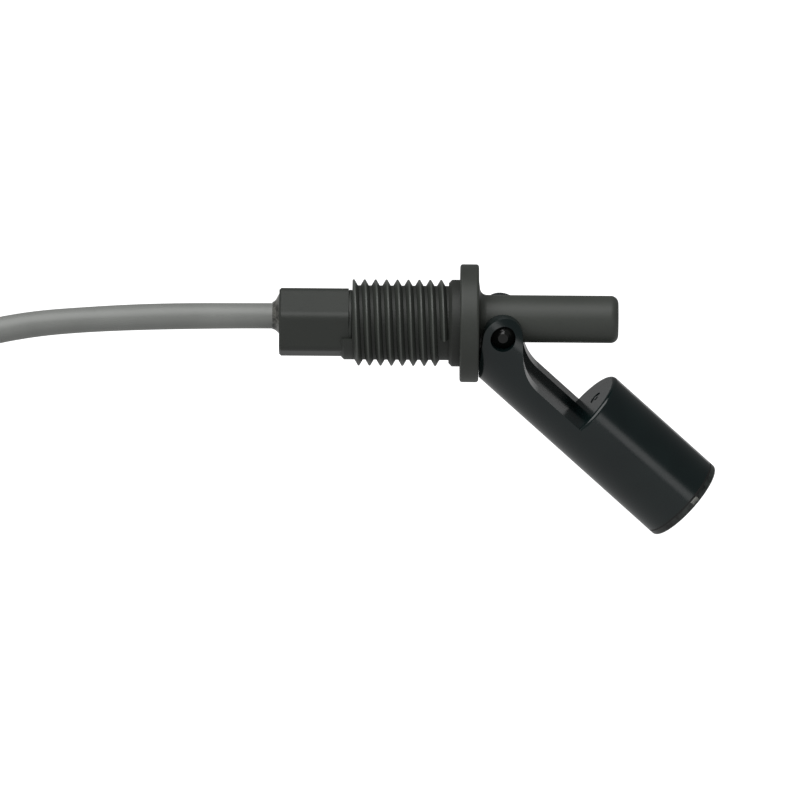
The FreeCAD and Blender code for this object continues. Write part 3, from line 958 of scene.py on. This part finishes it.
@dataclass
class NeckRing:
    """Rounded ring that softens the neck between the hexagonal tail and the thread."""

    middle: float = -20.03
    width: float = 0.63
    inner_radius: float = 5.4
    outer_radius: float = 5.97
    corner: float = 0.17
    steps: int = 96

    def build(self) -> bpy.types.Object:
        """Draws the ring's section and spins it round the thread's axis.

        Returns:
            The ring.
        """
        Bench.clear()
        height = (self.inner_radius + self.outer_radius) / 2
        bpy.ops.mesh.primitive_plane_add(
            size=1.0, location=metres((self.middle, 0, height)), rotation=(math.pi / 2, 0, 0)
        )
        piece = bpy.context.object
        piece.scale = (self.width * MM, (self.outer_radius - self.inner_radius) * MM, 1.0)
        bpy.ops.object.transform_apply(location=True, rotation=True, scale=True)
        Bench.edit(piece)
        bpy.ops.mesh.select_all(action="SELECT")
        bpy.ops.mesh.bevel(offset=self.corner * MM, segments=4, affect="VERTICES")
        bpy.ops.mesh.select_all(action="SELECT")
        bpy.ops.mesh.delete(type="ONLY_FACE")
        bpy.ops.mesh.select_all(action="SELECT")
        bpy.ops.mesh.spin(steps=self.steps, angle=2 * math.pi, center=(0, 0, 0), axis=THREAD_AXIS)
        bpy.ops.mesh.select_all(action="SELECT")
        bpy.ops.mesh.remove_doubles(threshold=0.002 * MM)
        bpy.ops.mesh.normals_make_consistent(inside=False)
        Bench.leave()
        Bench.settle(piece, "neck_ring")
        BOOK.dress(piece, HOUSING_GREY)
        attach(piece, Body.SWITCH.value)
        return piece


@dataclass
class Cable:
    """Two-core round cable: its drawn-out run, its put-away turns and the twist of its cores."""

    diameter: float = 4.8
    length: float = 1.0
    exit: Place = (-34.2, 0.0, 1.18)
    run: list[Place] = field(
        default_factory=lambda: [
            (-26.1, 0.0, 1.18),
            (-45.0, 0.0, 1.14),
            (-64.0, 0.0, 0.54),
            (-82.0, -0.3, -1.0),
            (-98.5, -2.2, -5.4),
            (-113.0, -5.6, -12.8),
            (-126.0, -8.5, -21.4),
            (-139.5, -9.2, -28.7),
            (-152.0, -8.6, -33.3),
        ]
    )
    turn_centre: tuple[float, float] = (-135.0, 10.9)
    half_straight: float = 25.5
    outer_turn: float = 19.3
    inner_turn: float = 14.4
    low_layer: float = FLOOR_Z + 2.4
    layer_step: float = 4.8
    inward_move: tuple[float, float] = (1.84, 1.96)
    layer_moves: tuple[tuple[float, float, int], ...] = ((0.94, 1.08, -1), (2.76, 2.88, 1), (3.76, 3.88, 1))
    whole_turns: int = 4
    end_points: int = 7
    straight_points: int = 3
    last_step_share: float = 0.3
    core_twist: float = 64.0
    core_relief: float = 0.03
    ring_sides: int = 36
    ring_step: float = 1.3

    def turn_state(self, share: float) -> tuple[float, float]:
        """Radius and height of the wound cable after some turns.

        Args:
            share: how many turns have been wound.

        Returns:
            The turn's radius and its centre's height, in millimetres.
        """

        def ease(start: float, end: float) -> float:
            """Smooth step from 0 to 1 between two places along the winding."""
            part = min(1.0, max(0.0, (share - start) / (end - start)))
            return part * part * (3 - 2 * part)

        radius = self.outer_turn - (self.outer_turn - self.inner_turn) * ease(*self.inward_move)
        layer = 1.0 + sum(way * ease(start, end) for start, end, way in self.layer_moves)
        return radius, self.low_layer + self.layer_step * layer

    def turns(self) -> list[Place]:
        """Points of the long turns, from the far end of the first to the sheath's end.

        Returns:
            Control points in millimetres.
        """
        points = []
        per_end, per_run = self.end_points, self.straight_points
        per_turn = 2 * (per_end + per_run)
        swell = 1 / math.cos(math.pi / (2 * per_end))
        total = self.whole_turns * per_turn + per_end + 1
        for index in range(total):
            place = index % per_turn
            radius, height = self.turn_state(index / per_turn)
            far_side = place < per_end + per_run
            step = place if far_side else place - per_end - per_run
            side = -1 if far_side else 1
            centre_x = self.turn_centre[0] + side * self.half_straight
            if step < per_end:
                angle = math.pi * (step + 0.5) / per_end
                x = centre_x + side * radius * swell * math.sin(angle)
                y = self.turn_centre[1] + side * radius * swell * math.cos(angle)
            else:
                along = (step - per_end + 0.5) / per_run
                x = centre_x - side * 2 * self.half_straight * along
                y = self.turn_centre[1] - side * radius
            points.append((x, y, height))
        return points

    def centreline(self) -> list[Vector]:
        """Draws the route as one smooth spline and reads it.

        Returns:
            Points along the cable's middle, in metres.
        """
        route = self.run + self.turns()
        curve = bpy.data.curves.new("cable_route", "CURVE")
        curve.dimensions = "3D"
        spline = curve.splines.new("NURBS")
        spline.points.add(len(route) - 1)
        for point, place in zip(spline.points, route):
            point.co = (*metres(place), 1.0)
        spline.order_u = 3
        spline.use_endpoint_u = True
        spline.resolution_u = 16
        drawn = bpy.data.objects.new("cable_route", curve)
        bpy.context.scene.collection.objects.link(drawn)
        bpy.context.view_layer.update()
        mesh = bpy.data.meshes.new_from_object(drawn.evaluated_get(bpy.context.evaluated_depsgraph_get()))
        points = [vertex.co.copy() for vertex in mesh.vertices]
        bpy.data.meshes.remove(mesh)
        bpy.data.objects.remove(drawn)
        bpy.data.curves.remove(curve)
        return self.spaced(points)

    def spaced(self, points: list[Vector]) -> list[Vector]:
        """Walks along the spline in even steps.

        Args:
            points: the spline's own points.

        Returns:
            Points about ring_step apart, with both ends.
        """
        step = self.ring_step * MM
        even = [points[0]]
        carried = 0.0
        for before, after in zip(points, points[1:]):
            gap = (after - before).length
            while gap > 0 and carried + gap >= step:
                before = before.lerp(after, (step - carried) / gap)
                even.append(before)
                gap = (after - before).length
                carried = 0.0
            carried += gap
        if (even[-1] - points[-1]).length > self.last_step_share * step:
            even.append(points[-1])
        return even

    def tube(self, line: list[Vector]) -> bpy.types.Object:
        """Skins the centreline with rings that show the two cores' twist.

        Args:
            line: the centreline's points.

        Returns:
            The sheath, closed at both ends and unrolled on its UV map in metres.
        """
        vertices, faces, unrolled = [], [], []
        sides = self.ring_sides
        radius = self.diameter / 2 * MM
        heading = (line[1] - line[0]).normalized()
        across = heading.orthogonal().normalized()
        travelled = [0.0]
        for index, place in enumerate(line):
            before = line[max(index - 1, 0)]
            after = line[min(index + 1, len(line) - 1)]
            new_heading = (after - before).normalized()
            across = heading.rotation_difference(new_heading) @ across
            across = (across - new_heading * across.dot(new_heading)).normalized()
            heading = new_heading
            beside = heading.cross(across)
            if index:
                travelled.append(travelled[-1] + (place - line[index - 1]).length)
            twist = 2 * math.pi * travelled[-1] / (self.core_twist * MM)
            for side in range(sides):
                angle = 2 * math.pi * side / sides
                relief = self.core_relief * MM * (math.cos(2 * (angle - twist)) - 1)
                outward = across * math.cos(angle) + beside * math.sin(angle)
                vertices.append(place + outward * (radius + relief))
        girth = 2 * math.pi * radius
        for ring in range(len(line) - 1):
            near, far = travelled[ring], travelled[ring + 1]
            for side in range(sides):
                low, high = ring * sides, (ring + 1) * sides
                beyond = (side + 1) % sides
                faces.append((low + side, low + beyond, high + beyond, high + side))
                here, there = girth * side / sides, girth * (side + 1) / sides
                unrolled += [(near, here), (near, there), (far, there), (far, here)]
        last = (len(line) - 1) * sides
        faces.append(tuple(reversed(range(sides))))
        faces.append(tuple(range(last, last + sides)))
        for _ in range(2):
            unrolled += [
                (radius * math.cos(2 * math.pi * side / sides), radius * math.sin(2 * math.pi * side / sides))
                for side in range(sides)
            ]
        mesh = bpy.data.meshes.new("cable")
        mesh.from_pydata(vertices, [], faces)
        layer = mesh.uv_layers.new(name="unrolled")
        for loop, place in zip(layer.data, unrolled):
            loop.uv = place
        for face in mesh.polygons:
            face.use_smooth = len(face.vertices) == 4
        piece = bpy.data.objects.new("cable", mesh)
        bpy.context.scene.collection.objects.link(piece)
        return piece

    def build(self, tie: bpy.types.Object) -> bpy.types.Object:
        """Args:
            tie: the tie that holds the put-away turns; not used.

        Returns:
            The cable.
        """
        line = self.centreline()
        piece = self.tube(line)
        BOOK.dress(piece, SHEATH_GREY)
        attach(piece, Body.SWITCH.value)
        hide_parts("cable_sheath", "cable_coil")
        ends = {
            "bare_core_a": CORE_BROWN,
            "bare_core_b": CORE_BLUE,
            "tinned_end_a": TINNED,
            "tinned_end_b": TINNED,
        }
        BOOK.dress_nodes(ends)
        measured = sum((b - a).length for a, b in zip(line, line[1:]))
        LOG.info("cable: %.4f m along %d points", measured, len(line))
        return piece


@dataclass
class Housing:
    """The grey moulding with its tail, thread, flange, stem and hinge pins, and what seals it."""

    collar: ResinCollar = field(default_factory=ResinCollar)
    ring: NeckRing = field(default_factory=NeckRing)

    def build(self) -> None:
        """Dresses the moulding and the resin, and adds the resin's collar and the neck's ring."""
        BOOK.dress_nodes({"housing": HOUSING_GREY, "potting": RESIN_MOTTLED})
        self.collar.build()
        self.ring.build()


@dataclass
class ReedSwitch:
    """The reed and its joints inside the housing."""

    finishes: dict[str, Finish] = field(
        default_factory=lambda: {
            "reed_glass": GLASS_CLEAR,
            "reed_blade_tail": PLATED_ALLOY,
            "reed_blade_tip": PLATED_ALLOY,
            "core_long": CORE_BROWN,
            "core_short": CORE_BLUE,
            "wire_long": COPPER,
            "wire_short": COPPER,
            "solder_tail": SOLDER,
            "solder_tip": SOLDER,
            "sleeve_tail": SLEEVE,
        }
    )

    def build(self) -> None:
        """Dresses the reed's pieces."""
        BOOK.dress_nodes(self.finishes)


@dataclass
class FloatAssembly:
    """The float on its forked arm, its cap and the moulding flash on the cap's rim."""

    axis_drop: float = 1.84
    radius: float = 8.35
    flash_reach: float = 47.3
    flash_angle: float = -67.0
    flash_size: Place = (0.75, 1.5, 0.4)
    flash_taper: Place = (0.5, 0.7, 1.0)
    flash_raggedness: float = 0.13
    flash_seed: int = 4

    def flash(self) -> bpy.types.Object:
        """Shapes the little ragged edge left on the cap.

        Returns:
            The flash.
        """
        angle = math.radians(self.flash_angle)
        along, up, side = Vector(ARM_AXIS), Vector(ARM_UP), Vector(HINGE_AXIS)
        outward = side * math.sin(angle) + up * math.cos(angle)
        axis_place = Vector(HINGE) + along * self.flash_reach - up * self.axis_drop
        centre = (axis_place + outward * self.radius) * MM
        Bench.clear()
        bpy.ops.mesh.primitive_cube_add(size=1.0)
        piece = bpy.context.object
        piece.scale = metres(self.flash_size)
        bpy.ops.object.transform_apply(location=False, rotation=False, scale=True)
        Bench.edit(piece)
        bpy.ops.mesh.select_all(action="SELECT")
        bpy.ops.mesh.subdivide(number_cuts=2)
        Bench.pick(piece, lambda face: face.normal.z > FACING)
        bpy.ops.transform.resize(value=self.flash_taper, center_override=(0, 0, 0))
        bpy.ops.mesh.select_all(action="SELECT")
        bpy.ops.transform.vertex_random(offset=self.flash_raggedness * MM, seed=self.flash_seed)
        Bench.leave()
        Bench.modify(piece, "BEVEL", width=0.05 * MM, segments=2, limit_method="ANGLE")
        axes = Matrix((along, outward.cross(along), outward)).transposed().to_4x4()
        piece.matrix_world = Matrix.Translation(centre) @ axes
        Bench.settle(piece, "cap_flash")
        BOOK.dress(piece, FLASH_PALE)
        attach(piece, Body.FLOAT.value)
        return piece

    def build(self) -> None:
        """Dresses the arm, cap and magnet, and adds the flash."""
        BOOK.dress_nodes({"float_arm": FLOAT_BLACK, "float_cap": CAP_BLACK, "magnet": FERRITE})
        self.flash()


@dataclass(frozen=True)
class Softbox:
    """One soft light that points at the switch, in metres and watts."""

    name: str
    place: Place
    size: tuple[float, float]
    power: float
    target: Place = (0.01, 0.0, -0.01)

    def build(self) -> bpy.types.Object:
        """Makes the light.

        Returns:
            The light.
        """
        data = bpy.data.lights.new(self.name, "AREA")
        data.shape = "RECTANGLE"
        data.size, data.size_y = self.size
        data.energy = self.power
        light = bpy.data.objects.new(self.name, data)
        bpy.context.scene.collection.objects.link(light)
        light.location = self.place
        aim = Vector(self.target) - Vector(self.place)
        light.rotation_euler = aim.to_track_quat("-Z", "Y").to_euler()
        return light


@dataclass
class Studio:
    """Plain pale floor, dim surroundings and softboxes."""

    floor_half: float = 6.0
    floor_glow: float = 0.42
    floor_lift: float = 0.8
    sky: float = 0.17
    softboxes: tuple[Softbox, ...] = (
        Softbox("top_box", (-0.28, -0.32, 0.84), (1.0, 1.0), 9.6),
        Softbox("strip_box", (0.38, -0.7, 0.1), (0.6, 0.16), 0.42),
    )

    def build(self) -> None:
        """Makes the floor, the surroundings and the lights."""
        self.floor()
        self.surroundings()
        for softbox in self.softboxes:
            softbox.build()
        bpy.context.scene.view_settings.view_transform = "Standard"

    def floor(self) -> None:
        """Makes a floor that glows a little on the pieces and looks white to the camera."""
        Bench.clear()
        bpy.ops.mesh.primitive_plane_add(size=2 * self.floor_half, location=(0, 0, FLOOR_Z * MM))
        floor = bpy.context.object
        floor.name = "floor"
        bpy.ops.object.transform_apply(location=True, rotation=True, scale=True)
        BOOK.dress(floor, FLOOR_PALE)
        graph = Graph(floor.active_material.node_tree)
        shader = graph.tree.nodes["Principled BSDF"]
        seen = graph.add("LightPath").outputs["Is Camera Ray"]
        shader.inputs["Emission Color"].default_value = (1.0, 1.0, 1.0, 1.0)
        lift = graph.maths("MULTIPLY", seen, self.floor_lift)
        graph.tree.links.new(graph.maths("ADD", lift, self.floor_glow), shader.inputs["Emission Strength"])

    def surroundings(self) -> None:
        """Makes a dim, even room, which keeps the glossy float dark."""
        world = bpy.data.worlds.new("studio")
        world.use_nodes = True
        sky = world.node_tree.nodes["Background"]
        sky.inputs["Color"].default_value = (1.0, 1.0, 1.0, 1.0)
        sky.inputs["Strength"].default_value = self.sky
        bpy.context.scene.world = world


def main() -> None:
    """Builds the scene in order."""
    logging.basicConfig(level=logging.INFO)
    PhotoView().build()
    tie = CableTie().build()
    Cable().build(tie)
    Housing().build()
    ReedSwitch().build()
    FloatAssembly().build()
    Studio().build()


if __name__ == "__main__":
    main()
